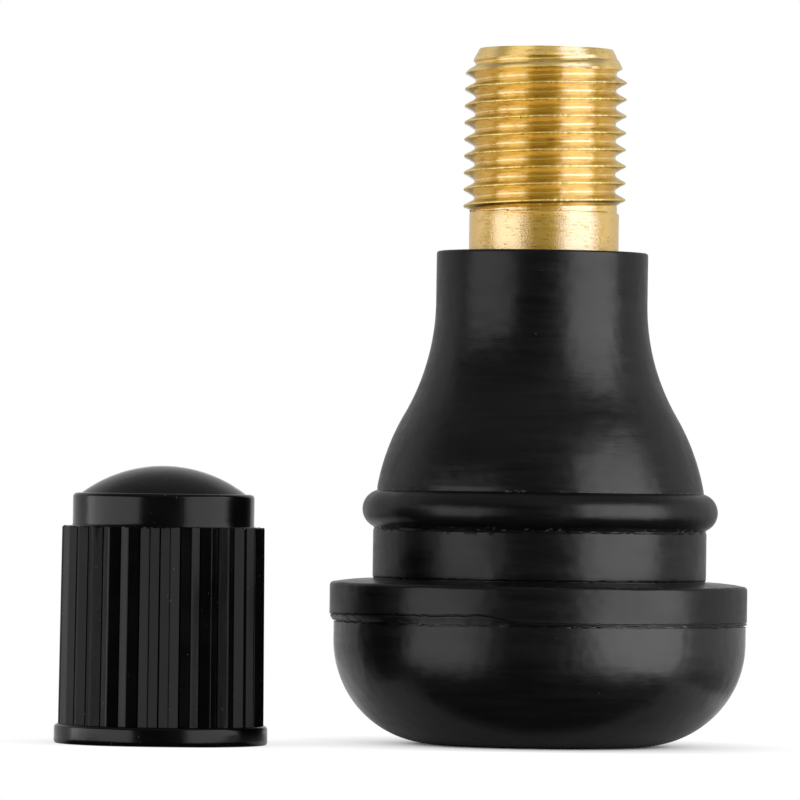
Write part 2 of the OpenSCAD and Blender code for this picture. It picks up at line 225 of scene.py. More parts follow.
def dress(obj, body, node, material):
    """Puts a made piece in place of its CAD node, on the node's body."""
    obj.data.materials.append(material)
    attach(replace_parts(obj, node), body)


# ------------------------------------------------ materials

class NodeTree:
    """Short calls that build the node tree of a material or world."""

    def __init__(self, owner):
        owner.use_nodes = True
        self.tree = owner.node_tree
        self.tree.nodes.clear()

    def add(self, kind):
        return self.tree.nodes.new("ShaderNode" + kind)

    def put(self, socket, value):
        """Links an output to a socket, or sets a constant on it."""
        if isinstance(value, bpy.types.NodeSocket):
            self.tree.links.new(value, socket)
        else:
            socket.default_value = value

    def math(self, operation, *values):
        node = self.add("Math")
        node.operation = operation
        for socket, v in zip(node.inputs, values):
            self.put(socket, v)
        return node.outputs["Value"]

    def spread(self, value, low, high, to_low, to_high, smooth=False):
        """Maps low to to_low and high to to_high, and goes no further."""
        node = self.add("MapRange")
        if smooth:
            node.interpolation_type = "SMOOTHSTEP"
        sockets = ("Value", "From Min", "From Max", "To Min", "To Max")
        for socket, v in zip(sockets, (value, low, high, to_low, to_high)):
            self.put(node.inputs[socket], v)
        return node.outputs["Result"]

    def axis(self, vector, name):
        """One coordinate of a vector."""
        node = self.add("SeparateXYZ")
        self.put(node.inputs["Vector"], vector)
        return node.outputs[name]


class Nodes(NodeTree):
    """Short calls that build one material. Texture coordinates are in millimetres."""

    def __init__(self, name):
        self.material = bpy.data.materials.new(name)
        super().__init__(self.material)
        self.bsdf = self.add("BsdfPrincipled")
        self.put(self.add("OutputMaterial").inputs["Surface"], self.bsdf.outputs["BSDF"])
        self.object = self.add("TexCoord").outputs["Object"]

    def coords(self, x=1.0, y=1.0, z=1.0):
        node = self.add("Mapping")
        self.put(node.inputs["Scale"], (x / MM, y / MM, z / MM))
        self.put(node.inputs["Vector"], self.object)
        return node.outputs["Vector"]

    def noise(self, vector, scale, detail=3.0, rough=0.55, distortion=0.0):
        node = self.add("TexNoise")
        sockets = ("Vector", "Scale", "Detail", "Roughness", "Distortion")
        for socket, v in zip(sockets, (vector, scale, detail, rough, distortion)):
            self.put(node.inputs[socket], v)
        return node.outputs["Fac"]

    def total(self, a, b, share=1.0):
        """a plus a share of b."""
        return self.math("MULTIPLY_ADD", b, share, a)

    def product(self, a, b):
        return self.math("MULTIPLY", a, b)

    def height(self):
        return self.axis(self.coords(), "Z")

    def near(self, level, reach):
        """1 at a height, down to 0 at reach from it."""
        off = self.math("ABSOLUTE", self.math("SUBTRACT", self.height(), level))
        return self.spread(off, 0.0, reach, 1.0, 0.0)

    def radius(self):
        """Distance from the Z axis."""
        node = self.add("VectorMath")
        node.operation = "LENGTH"
        self.put(node.inputs[0], self.coords(1.0, 1.0, 0.0))
        return node.outputs["Value"]

    def blend(self, share, a, b):
        """Colour a where share is 0 and b where it is 1."""
        node = self.add("Mix")
        node.data_type = "RGBA"
        self.put(node.inputs[0], share)
        for socket, v in ((node.inputs[6], a), (node.inputs[7], b)):
            self.put(socket, (*v, 1.0) if isinstance(v, tuple) else v)
        return node.outputs[2]

    def bump(self, height, distance_mm, strength, below=None):
        node = self.add("Bump")
        self.put(node.inputs["Distance"], distance_mm * MM)
        self.put(node.inputs["Strength"], strength)
        self.put(node.inputs["Height"], height)
        if below:
            self.put(node.inputs["Normal"], below)
        return node.outputs["Normal"]

    def finish(self, colour, roughness, normal, **others):
        """Fills the shader's sockets, the others by name with _ for a space."""
        for socket, v in (("Base Color", colour), ("Roughness", roughness), ("Normal", normal)):
            self.put(self.bsdf.inputs[socket], v)
        for socket, v in others.items():
            self.put(self.bsdf.inputs[socket.replace("_", " ")], v)
        return self.material


def rubber_material():
    """Moulded black rubber: streaks and a soft mottle round the axis, a fine grain, a few pale
    specks of dust, and pale painted glints on the torn flash along its edges. The button is a little
    glossier."""
    n = Nodes("moulded_rubber")
    streak = n.noise(n.coords(0.22, 0.22, 2.6), 1.0, 5.0, 0.6, 0.4)
    mottle = n.noise(n.coords(0.8, 0.8, 2.2), 1.0, 4.0, 0.6, 0.3)
    patch = n.noise(n.coords(), 0.5, 2.0)
    grain = n.noise(n.coords(), 11.0, 3.0, 0.6)
    dust = n.spread(n.noise(n.coords(1.4, 1.4, 2.2), 2.6, 2.0, 0.7), 0.735, 0.76, 0.0, 1.0)
    edges = n.near(PART_Z, 0.09)
    for level, reach in ((FLANGE_TOP, 0.07), (GROOVE_Z, 0.12), (CREASE_Z, 0.08)):
        edges = n.total(edges, n.near(level, reach))
    # Pale marks along the moulding edges are painted glints of light on the torn flash
    flash_glint_scatter = n.noise(n.coords(3.2, 3.2, 7.0), 1.0, 2.0, 0.6)
    painted_flash_glint = n.product(edges, n.spread(flash_glint_scatter, 0.60, 0.68, 0.0, 1.0))
    tone = n.blend(n.spread(streak, 0.35, 0.65, 0.0, 1.0),
                   (0.0012, 0.0012, 0.0013), (0.0032, 0.0031, 0.0033))
    tone = n.blend(dust, tone, (0.03, 0.03, 0.03))
    tone = n.blend(painted_flash_glint, tone, (0.07, 0.07, 0.07))
    rough = n.spread(n.total(patch, streak), 0.75, 1.25, 0.27, 0.37)
    normal = n.bump(patch, 0.13, 0.5)
    normal = n.bump(n.total(streak, mottle, 0.6), 0.018, 0.5, normal)
    normal = n.bump(grain, 0.006, 0.35, normal)
    gloss = n.spread(n.height(), PART_Z - 0.1, PART_Z, 1.0, 0.0)
    return n.finish(tone, rough, normal, Specular_IOR_Level=0.27, Coat_Weight=gloss,
                    Coat_Normal=normal, Coat_Roughness=0.27, Coat_IOR=1.15)


def brass_material(name, plain_tone, thread_tone_painted_lighter, grain_scale, ring_mm, crest_r, thread_z):
    """Turned brass: tool rings round the axis, brown specks, an uneven colour, a lighter tone for the
    thread above thread_z, painted to stand in for light in its grooves, and paler crests beyond
    crest_r, worn and with a painted glint. The coat is its bright skin, over a metal that is rough
    from turning, and it is thin on the specks and the crests."""
    n = Nodes(name)
    ring = n.noise(n.coords(0.10, 0.10, 9.0), 1.0, 4.0, 0.7)
    fine = n.noise(n.coords(0.9, 0.9, 14.0), 1.0, 3.0, 0.7)
    dash = n.noise(n.coords(2.4, 2.4, 13.0), 1.0, 3.0, 0.65)
    grain = n.noise(n.coords(), grain_scale, 3.0, 0.65)
    patch = n.noise(n.coords(), 0.7, 3.0)
    threaded = n.spread(n.height(), thread_z, thread_z + 0.15, 0.0, 1.0)
    crest = n.spread(n.radius(), crest_r - 0.05, crest_r + 0.02, 0.0, 1.0)
    # Crests are worn, and are also painted paler as a glint of light along them
    worn_crest_glint = n.product(crest, n.spread(grain, 0.42, 0.52, 0.1, 1.0))
    speck_most = 0.6
    speck = n.total(n.total(dash, grain, 0.5), patch, 0.45)
    speck = n.spread(speck, 1.0, 1.18, 0.0, speck_most)
    # The thread is painted lighter than the shank, to stand in for light caught in its grooves
    tone = n.blend(threaded, plain_tone, thread_tone_painted_lighter)
    tone = n.blend(n.spread(fine, 0.35, 0.65, 0.0, 0.22), tone, (0.55, 0.30, 0.05))
    tone = n.blend(worn_crest_glint, tone, (0.98, 0.75, 0.24))
    tone = n.blend(speck, tone, (0.34, 0.16, 0.02))
    rough = n.spread(n.total(ring, grain), 0.75, 1.3, 0.28, 0.40)
    normal = n.bump(ring, ring_mm, 0.6)
    normal = n.bump(n.total(fine, dash, 0.8), ring_mm * 0.7, 0.5, normal)
    grainy = n.total(n.spread(threaded, 0.0, 1.0, 1.0, 0.3), crest)
    normal = n.bump(n.product(grain, grainy), 0.014, 0.8, normal)
    skin = n.product(n.spread(speck, 0.0, speck_most, 1.0, 0.4), n.spread(crest, 0.0, 1.0, 1.0, 0.3))
    return n.finish(tone, rough, normal, Metallic=1.0, Coat_Weight=skin,
                    Coat_Normal=normal, Coat_Roughness=0.09, Coat_IOR=2.9)


def plastic_material():
    """Half gloss black plastic: upright draw marks, soft unevenness and sparse specks, polished
    above and below the ribs."""
    n = Nodes("moulded_plastic")
    draw = n.noise(n.coords(2.4, 2.4, 0.16), 1.0, 4.0, 0.6)
    patch = n.noise(n.coords(), 0.5, 3.0)
    grain = n.noise(n.coords(), 13.0, 3.0, 0.6)
    dust = n.spread(n.noise(n.coords(2.0, 2.0, 1.6), 2.4, 2.0, 0.7), 0.71, 0.75, 0.0, 1.0)
    tone = n.blend(n.spread(patch, 0.35, 0.65, 0.0, 1.0),
                   (0.0008, 0.0008, 0.0009), (0.0018, 0.0018, 0.0019))
    tone = n.blend(dust, tone, (0.035, 0.035, 0.035))
    rough = n.spread(n.total(draw, patch), 0.75, 1.25, 0.17, 0.26)
    normal = n.bump(patch, 0.05, 0.4)
    normal = n.bump(draw, 0.010, 0.5, normal)
    normal = n.bump(grain, 0.005, 0.3, normal)
    above = n.spread(n.height(), CAP_RIB_Z - 0.04, CAP_RIB_Z + 0.04, 0.0, 1.0)
    below = n.spread(n.height(), CAP_FLANGE_H - 0.04, CAP_FLANGE_H + 0.02, 1.0, 0.0)
    return n.finish(tone, rough, normal, Specular_IOR_Level=0.093, Coat_Weight=n.total(above, below),
                    Coat_Normal=normal, Coat_Roughness=0.16, Coat_IOR=1.17)


def seal_material():
    """Sealing rubber, dull, with a powdery bloom."""
    n = Nodes("sealing_rubber")
    bloom = n.noise(n.coords(), 2.2, 5.0, 0.65)
    grain = n.noise(n.coords(), 15.0, 3.0, 0.6)
    tone = n.blend(n.spread(bloom, 0.35, 0.7, 0.0, 1.0), (0.012, 0.011, 0.011), (0.04, 0.036, 0.035))
    rough = n.spread(grain, 0.3, 0.7, 0.55, 0.75)
    normal = n.bump(grain, 0.008, 0.5, n.bump(bloom, 0.02, 0.4))
    return n.finish(tone, rough, normal, Specular_IOR_Level=0.35)


def steel_material():
    """Drawn spring wire: bright, with fine scratches and dull patches."""
    n = Nodes("spring_wire")
    scratch = n.noise(n.coords(3.0, 3.0, 12.0), 1.0, 4.0, 0.7)
    patch = n.noise(n.coords(), 1.5, 3.0)
    tone = n.blend(n.spread(patch, 0.35, 0.65, 0.0, 1.0), (0.52, 0.52, 0.54), (0.64, 0.63, 0.62))
    rough = n.spread(scratch, 0.3, 0.7, 0.18, 0.34)
    return n.finish(tone, rough, n.bump(scratch, 0.004, 0.5), Metallic=1.0)


RUBBER = rubber_material()
STEM_BRASS = brass_material("turned_brass", (0.82, 0.52, 0.05), (0.86, 0.59, 0.07),
                            grain_scale=13.0, ring_mm=0.012, crest_r=3.8, thread_z=25.25)
CORE_BRASS = brass_material("core_brass", (0.80, 0.54, 0.16), (0.86, 0.62, 0.20),
                            grain_scale=16.0, ring_mm=0.010, crest_r=2.56, thread_z=26.0)
PLASTIC = plastic_material()
SEAL = seal_material()
STEEL = steel_material()


# ------------------------------------------------ rubber body

def shoulder_radius(z):
    """Double curve of the shoulder, upright at the groove and at the neck."""
    run, rise = GROOVE_R - NECK_R, NECK_LOW - GROOVE_Z
    r = rise / (2 * math.sin(2 * math.atan(run / rise)))
    if z < GROOVE_Z + rise / 2:
        return GROOVE_R - r + math.sqrt(r * r - (z - GROOVE_Z) ** 2)
    return NECK_R + r - math.sqrt(r * r - (NECK_LOW - z) ** 2)


def stem_root():
    """Outline of the stem's anchor in the rubber, from the shank down to the foot's lower edge."""
    points = [(SHANK_R, 14.96), (ROOT_R, 14.4)]
    for z in (12.15, 9.9, 7.65):
        points += [(ROOT_R, z + 0.4), (ROOT_RIB_R, z + 0.2), (ROOT_RIB_R, z - 0.2), (ROOT_R, z - 0.4)]
    return points + [(ROOT_R, FOOT_TOP), (FOOT_R, FOOT_TOP), (FOOT_R, FOOT_LOW)]


def rubber_body():
    """Outline from the air hole round the outside to the cavity for the stem."""
    n, offset = 360, 0.05
    theta = angles(n)
    side = np.cos(theta)

    # The button with its rounded corner, a little out of line with the axis
    lower = [(1.9, FOOT_LOW), (1.9, 2.4), (1.9, 0.86), (1.94, 0.76), (2.62, 0.06), (2.74, 0.0)]
    lower += [(3.4, 0.0), (4.2, 0.0)]
    lower += arc(BASE_R - BASE_CORNER, BASE_CORNER, BASE_CORNER, -90, 0, 46)
    lower += line((BASE_R, 5.05), (BASE_R, 5.5), 3)
    r, z, _ = plain(lower, n)
    r += offset * side * np.where(r > 5, np.clip(z / 3, 0, 1), 0)
    sections = [(r, z, 0)]

    # The parting line, where the mould's halves are a little out of line: a ragged nick below
    # torn flash, and on the left a ridge with a second, finer line above it
    ragged, slow = wobble(theta, 3, 20, 150), wobble(theta, 5, 3, 14)
    jag = np.abs(ragged)
    tick = np.clip(wobble(theta, 7, 50, 170) - 0.9, 0, 1)
    wall = BASE_R + offset * side
    band = BAND_R - 0.025 * side + 0.006 * slow
    part = PART_Z + 0.02 * slow + 0.012 * ragged
    nick = wall - 0.09 - 0.04 * jag
    foot = np.minimum(wall + 0.01 + 0.03 * jag + 0.05 * tick, BAND_LIMIT)
    low_ridge = 0.05
    ridge = np.interp(np.degrees(theta), [0, 95, 110, 180, 230, 254, 264, 360],
                      [low_ridge, low_ridge, 0.15, 0.21, 0.36, 0.40, low_ridge, low_ridge])
    second = band - 0.04 - np.clip((ridge - low_ridge) / 0.15, 0, 1) * (0.05 + 0.02 * jag)
    sections.append(rows(
        (wall, part - 0.1), (wall - 0.005 + 0.03 * tick, part - 0.06),
        (nick, part - 0.045), (nick, part + 0.005), (foot, part + 0.03), (foot, part + 0.05),
        (band - 0.05, part + 0.05 + 0.6 * ridge), (band - 0.035, part + 0.05 + 0.9 * ridge),
        (second, part + 0.06 + ridge), (second, part + 0.08 + ridge), (band, part + 0.115 + ridge)))

    # The flange, with a slightly wavy upper edge and a top that rises to a crevice at the groove
    edge = 0.2
    wave = np.clip(0.012 * wobble(theta, 11, 3, 22), -0.03, 0.02)
    crevice = GROOVE_R - 0.04 - 0.02 * np.abs(wobble(theta, 29, 8, 90))
    top = ((9.3, 7.70), (8.8, 7.755), (8.3, 7.79), (GROOVE_R + 0.1, 7.80))
    sections.append(rows(
        *[(band, z) for z in (6.55, 6.8, 7.05, 7.3)],
        *[(band - edge + r, FLANGE_TOP - edge + z + wave) for r, z in arc(0, 0, edge, 0, 90, 8)],
        *[(r, z + 0.3 * wave) for r, z in top],
        (crevice, 7.78), (crevice, 7.83), (GROOVE_R - 0.01, 7.88)))

    # The groove and the bead, with a ragged notch below it and ticks of flash in its upper crease
    sections.append(plain(line((GROOVE_R, 7.95), (GROOVE_R, 10.08), 10), n))
    sections.append(rows((GROOVE_R - 0.03, 10.12 + 0.02 * ragged), (GROOVE_R - 0.04 - 0.03 * jag, 10.19)))
    start = math.degrees(math.atan2(GROOVE_Z - BEAD_CZ, GROOVE_R - BEAD_CR))
    r, z, _ = plain(arc(BEAD_CR, BEAD_CZ, BEAD_R, start, 73, 34), n)
    r += 0.006 * wobble(theta, 13, 3, 30)[None, :] * np.linspace(0, 1, len(r))[:, None]
    sections.append((r, z, 0))
    crease = np.clip(wobble(theta, 17, 40, 170) - 1.1, 0, 1)
    sections.append(rows(
        (7.745 + 0.03 * crease, CREASE_Z - 0.025), (7.742 + 0.05 * crease, CREASE_Z),
        (7.735 + 0.02 * crease, CREASE_Z + 0.035)))

    # The shoulder and the neck, a little out of round and out of line
    upper = [(shoulder_radius(z), z) for z in np.linspace(SHOULDER_LOW, NECK_LOW, 76)]
    upper += line((NECK_R, 21.2), (NECK_R, 23.1), 7)
    upper += arc(NECK_R - 0.12, NECK_TOP - 0.12, 0.12, 0, 90, 6)
    r, z, _ = plain(upper, n)
    out_of_round = np.interp(z[:, :1], [12.1, 14.0, 20.0, 23.0, NECK_TOP], [0.0, 0.012, 0.012, 0.006, 0.004])
    r += out_of_round * wobble(theta, 19, 2, 9)[None, :]
    r -= offset * np.clip((z - 12.1) / 6, 0, 1) * side
    sections.append((r, z, 0))

    # The neck's end and the cavity round the stem
    rim = [(4.5, NECK_TOP), (4.0, NECK_TOP), (3.7, NECK_TOP), (3.62, NECK_TOP - 0.02)]
    rim += [(3.575, NECK_TOP - 0.08), (SHANK_R, 22.9)]
    sections.append(plain(rim + stem_root(), n))
    dress(lathe("body_moulding", sections, True, 30.0), "valve", "rubber_body", RUBBER)


# ------------------------------------------------ brass stem

def brass_stem():
    """Outline from the shank up over the cap thread, and down the bore to the anchor's foot."""
    n, cone_r, cone_slope = 288, 3.169, 0.55
    run_out_r, run_out_low, run_out_high = 3.455, 25.27, 25.62
    burr = np.abs(wobble(angles(n), 23, 20, 140))
    cone = lambda z: cone_r + cone_slope * (STEM_TOP - z)

    def outer(r, z, a):
        """Trims the cap thread to the lead cone above and the run-out below, and frays its crests."""
        column = np.round(a / (2 * math.pi) * n).astype(int)
        fray = burr[(column * 7 + np.floor(z / CAP_PITCH).astype(int) * 29) % n]
        r = r - np.clip((r - 3.78) / 0.06, 0, 1) * 0.02 * np.minimum(fray, 1.5)
        groove = np.where(z < 25.235, SHANK_R - 0.02, run_out_r)
        cut = groove + (r - groove) * np.clip((z - run_out_low) / 0.16, 0, 1)
        return np.minimum(np.where(z < run_out_high, np.maximum(cut, groove), r), cone(z))

    def inner(r, z, a):
        """Trims the core thread, cut outwards from the chamber's wall, to the mouth's bevel and
        to its run-out."""
        cut = np.maximum(r - CHAMBER_R, 0) * np.clip((z - 26.5) / 0.4, 0, 1)
        return CHAMBER_R + np.maximum(cut, z - 32.7)

    shank = [(SHANK_R, z) for z in (15.2, 19.0, 22.9, 23.3, 24.0, 24.8, SHANK_TOP - 0.06)]
    sections = [plain(shank + [(SHANK_R - 0.02, SHANK_TOP - 0.02)], n)]
    profile = thread_profile(CAP_CREST, CAP_ROOT, ROUND_ROOT)
    sections.append(thread(profile, CAP_PITCH, CAP_CREST_Z, SHANK_TOP, 32.71, n, outer, CAP_CREST))
    mouth = [(cone(z), z) for z in (32.78, 32.86, 32.94, STEM_TOP)]
    sections.append(plain(mouth + [(3.05, STEM_TOP), (2.99, STEM_TOP), (2.95, 32.99)], n))
    profile = thread_profile(2.64, 2.82, PLAIN_ROOT)
    r, z, shift = thread(profile, CORE_PITCH, CORE_CREST_Z, 26.1, 32.96, n, inner, CHAMBER_R)
    sections.append((r[::-1], z[::-1], -shift))
    lower = [(CHAMBER_R, CHAMBER_LOW), (2.34, CHAMBER_LOW), (2.34, 24.95), (2.01, 22.95)]
    lower += [(1.88, 22.95), (1.88, 18.0), (1.88, 14.52)]
    lower += [(PASSAGE_R, 14.52), (PASSAGE_R, 9.0), (PASSAGE_R, FOOT_LOW)]
    sections.append(plain(lower + stem_root()[::-1], n))
    dress(lathe("stem_turned", sections, True), "valve", "brass_stem", STEM_BRASS)


# ------------------------------------------------ valve core

def core_plug():
    """Threaded sleeve with a lip below, and above it the bridge that a core key grips."""
    n, low, top, crest, root, bore, chamfer = 120, 26.1, 29.5, 2.575, 2.35, 1.675, 2.32
    shape = lambda r, z, a: np.clip(np.minimum(r, chamfer + np.minimum(z - low, top - z)), chamfer, None)
    profile = thread_profile(crest, root, ROUND_ROOT)
    sections = [thread(profile, CORE_PITCH, CORE_CREST_Z, low, top, n, shape, crest)]
    sections.append(plain([
        (2.0, top), (1.72, top), (bore, top - 0.05), (bore, 28.0), (bore, 26.7),
        (1.35, 26.7), (1.35, 26.15), (1.4, low), (1.9, low)], n))
    sleeve = lathe("plug_threaded", sections, True)

    half, reach, hole, roof, peak = 1.1, 2.5, 0.72, 29.9, 30.9

    def outline(turn, inset=0.0):
        """Radius of the bridge's outline, a circle with two flats."""
        return np.minimum(reach - inset, (half - inset) / np.maximum(np.abs(np.sin(turn)), 1e-6))

    theta = angles(n)
    plate = lathe("bridge_plate", [rows(
        (outline(theta, 0.02), roof), (outline(theta), roof + 0.02), (outline(theta), roof + 0.4),
        (outline(theta), peak - 0.1), (outline(theta, 0.03), peak - 0.03), (outline(theta, 0.1), peak),
        (0.95, peak), (hole + 0.06, peak), (hole, peak - 0.06), (hole, roof + 0.4), (hole, roof),
        (0.95, roof))], True)

    steps, sunk = 31, 0.05
    spread = math.asin(half / bore)
    a = np.linspace(-spread, spread, steps)
    r = np.stack([0 * a + bore, outline(a), outline(a), 0 * a + bore])
    z = np.repeat([[top - sunk], [top - sunk], [roof + sunk], [roof + sunk]], steps, 1)
    index = np.arange(4 * steps).reshape(4, steps)
    above = np.roll(index, -1, 0)
    faces = np.stack([index[:, :-1], index[:, 1:], above[:, 1:], above[:, :-1]], -1).reshape(-1, 4).tolist()
    legs = []
    for side in (0.0, math.pi):
        verts = np.stack([r * np.cos(a + side), r * np.sin(a + side), z], -1).reshape(-1, 3)
        legs.append(finish_mesh("bridge_leg", verts, faces))
    dress(join(sleeve, plate, *legs), "plug", "core_plug", CORE_BRASS)


def core_pin():
    """Pin with a rounded end above, a collar for the spring and a head below."""
    n, rod = 64, 0.65
    points = [(0.0, 16.6), (0.6, 16.62), (0.88, 16.7), (0.95, 16.82), (0.95, 17.0), (rod, 17.0)]
    points += [(rod, 20.0), (rod, 24.35), (1.05, 24.35), (1.1, 24.4), (1.1, 24.75), (1.05, 24.8)]
    points += [(rod, 24.8), (rod, 28.0), (rod, 31.0), (rod, 32.3)]
    points += arc(rod / 2, 32.425, rod / 2, 0, 90, 8) + [(0.15, 32.75), (0.0, 32.75)]
    dress(lathe("pin_turned", [plain(points, n)], False), "pin", "core_pin", CORE_BRASS)


def core_spring():
    """Coil whose end turns lie closer than the rest."""
    turns, wire, mean, low, high = 7, 0.15, 0.95, 19.55, 24.35
    t = np.linspace(0, 1, turns * 40 + 1)
    z = low + wire + (high - low - 2 * wire) * (t - 0.08 * np.sin(2 * math.pi * t))
    outwards, centres = helix(mean, 2 * math.pi * turns * t, z)
    coil = tube("spring_coil", centres, outwards * wire, np.repeat([[0, 0, wire]], len(t), 0), 12)
    dress(coil, "core", "core_spring", STEEL)
    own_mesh(coil)


# ------------------------------------------------ dust cap

def cap_ridge():
    """The thread in the cap's bore: a helical ridge that fades at both ends."""
    turns, start, depth, half_width = 9.6, 0.75, 0.45, 0.26
    t = np.linspace(0, 1, int(turns * 72) + 1)
    fade = np.clip(np.minimum(t, 1 - t) * turns * 3, 0.02, 1)[:, None]
    outwards, centres = helix(CAP_BORE + 0.05, 2 * math.pi * turns * t, start + CAP_PITCH * turns * t)
    up = np.repeat([[0, 0, half_width]], len(t), 0)
    return tube("cap_thread_ridge", centres, -outwards * depth * fade, up * fade, 8)


def dust_cap():
    """Cap with fine upright ribs between a plain flange and a crown, and a thread in its bore."""
    n, ribs, depth, nick, worn_crest_glint = 720, 30, 0.22, 0.045, 0.012
    theta = angles(n)
    flank = math.pi / ribs
    place = (theta + math.pi / 2) % (2 * math.pi) / flank
    k = np.floor(place + 1e-9)
    trim = np.where(np.abs(place - k) < 1e-6, np.where(k % 2 == 0, nick, worn_crest_glint), 0.0)

    def star(crest):
        """Straight flanks between worn crests and nicked grooves; a groove faces the front."""
        r1 = np.where(k % 2 == 0, crest - depth, crest)
        r2 = np.where(k % 2 == 0, crest, crest - depth)
        span = r1 * np.sin((place - k) * flank) + r2 * np.sin((k + 1 - place) * flank)
        return r1 * r2 * math.sin(flank) / span - trim

    # The dome and the crown below it
    crown_r, crown_z, crown_edge, dome_r, dome_h = 4.25, 11.68, 0.2, 3.85, 1.3
    radius = (dome_r ** 2 + dome_h ** 2) / (2 * dome_h)
    turn = math.degrees(math.asin(dome_r / radius))
    dome = arc(0, crown_z + dome_h - radius, radius, 90, 90 - turn, 18)
    dome[0] = (0.0, crown_z + dome_h)
    crown = [(3.9, crown_z - 0.01)]
    crown += arc(crown_r - crown_edge, crown_z - crown_edge, crown_edge, 90, 0, 8)
    crown += line((crown_r, 11.3), (crown_r, CAP_RIB_Z + 0.12), 4)
    crown += [(crown_r + 0.03, CAP_RIB_Z + 0.03), (crown_r + 0.08, CAP_RIB_Z)]
    sections = [plain(dome + crown, n)]

    # The ribs, drafted a little, with burrs along their upper ends
    rib_low = 4.82
    rib_top, shelf = rib_low * 0.985, CAP_RIB_Z - 0.07
    burr = 0.022 * wobble(theta, 31, 15, 120)
    sections.append(rows(
        (star(rib_top) - 0.05, CAP_RIB_Z + np.minimum(burr, 0.03)),
        (star(rib_top) - 0.012, CAP_RIB_Z - 0.02 + burr), (star(rib_top), shelf),
        *[(star(rib_top + (rib_low - rib_top) * s), shelf + (CAP_FLANGE_H - shelf) * s)
          for s in np.linspace(0.1, 1, 9)]))

    # The flange, and the bore with a recess for the seal in its roof
    flange_r, flange_edge, recess_r = 4.994, 0.16, 3.71
    flange = [(4.84, CAP_FLANGE_H)]
    flange += arc(flange_r - flange_edge, CAP_FLANGE_H - flange_edge, flange_edge, 90, 0, 7)
    flange += line((flange_r, 0.5), (flange_r, 0.09), 3)
    flange += [(flange_r - 0.03, 0.02), (flange_r - 0.08, 0.0), (4.6, 0.0), (4.3, 0.0)]
    inside = [(4.22, 0.03), (CAP_BORE, 0.35)] + line((CAP_BORE, 1.0), (CAP_BORE, 8.6), 6)
    inside += [(CAP_BORE, 9.0), (recess_r, 9.0), (recess_r, 10.0), (0.0, 10.0)]
    sections.append(plain(flange + inside, n))

    cap = lathe("cap_ribbed", sections, False, 24.0)
    join(cap, cap_ridge()).data.transform(Matrix.Translation((CAP_X * MM, CAP_Y * MM, 0)))
    dress(cap, "valve", "dust_cap", PLASTIC)


def cad_nodes():
    """Hidden pieces keep their CAD solids, with their own finish."""
    finishes = {"core_barrel": CORE_BRASS, "pin_cup": CORE_BRASS,
                "core_gasket": SEAL, "cup_seal": SEAL, "cap_seal": SEAL}
    for node, material in finishes.items():
        obj = frame["nodes"][node]
        for slot in obj.material_slots:
            slot.material = material
        if not obj.material_slots:
            obj.data.materials.append(material)


# ------------------------------------------------ stage, light and camera

def table_top():
    """Pale table top, white to camera, glossy and transmission rays, that keeps the soft shadow
    under the pieces. Its edges lie close to the pieces, so that the lights reach below it as they
    do in the photo. Reflections find it dark in front, and the shadow fades towards its front edge."""
    x0, x1, y0, y1, level_z, steps = -27.0, 13.0, -11.0, 40.0, -0.02, 9
    xs, ys = np.linspace(x0, x1, steps), np.linspace(y0, y1, steps)
    verts = np.array([(x, y, level_z) for y in ys for x in xs])
    corners = [j * steps + i for j in range(steps - 1) for i in range(steps - 1)]
    obj = finish_mesh("table_top", verts, [[c, c + 1, c + steps + 1, c + steps] for c in corners])

    material = bpy.data.materials.new("table_white")
    t = NodeTree(material)
    diffuse, glow = t.add("BsdfDiffuse"), t.add("Emission")
    mix, out = t.add("MixShader"), t.add("OutputMaterial")
    shade, path = t.add("AmbientOcclusion"), t.add("LightPath")
    shade.samples = 12
    t.put(shade.inputs["Distance"], 5 * MM)
    shadow = shade.outputs["AO"]
    y = t.axis(t.add("TexCoord").outputs["Object"], "Y")
    # Reflections see painted shade: the top is painted dark in front of the pieces and darkened by occlusion
    painted_shade_to_reflections = t.math("MULTIPLY", t.spread(y, -7.6 * MM, -6.8 * MM, 0.0, 0.55), shadow)
    # To the camera, occlusion paints a soft shadow into the glow, which fades out towards the front edge
    soft_shadow = t.math("POWER", shadow, 0.33)
    painted_shadow_to_camera = t.spread(y, y0 * MM, (y0 + 2.2) * MM, 1.0, soft_shadow, smooth=True)
    to_camera = path.outputs["Is Camera Ray"]
    seen = t.math("MAXIMUM", to_camera, path.outputs["Is Glossy Ray"])
    seen = t.math("MAXIMUM", seen, path.outputs["Is Transmission Ray"])
    t.put(diffuse.inputs["Color"], (0.8, 0.8, 0.8, 1.0))
    t.put(glow.inputs["Color"], (1.15, 1.15, 1.15, 1.0))
    t.put(glow.inputs["Strength"], t.spread(to_camera, 0.0, 1.0, painted_shade_to_reflections, painted_shadow_to_camera))
    t.put(mix.inputs["Fac"], t.math("MULTIPLY", seen, 0.85))
    t.put(mix.inputs[1], diffuse.outputs["BSDF"])
    t.put(mix.inputs[2], glow.outputs["Emission"])
    t.put(out.inputs["Surface"], mix.outputs["Shader"])
    obj.data.materials.append(material)


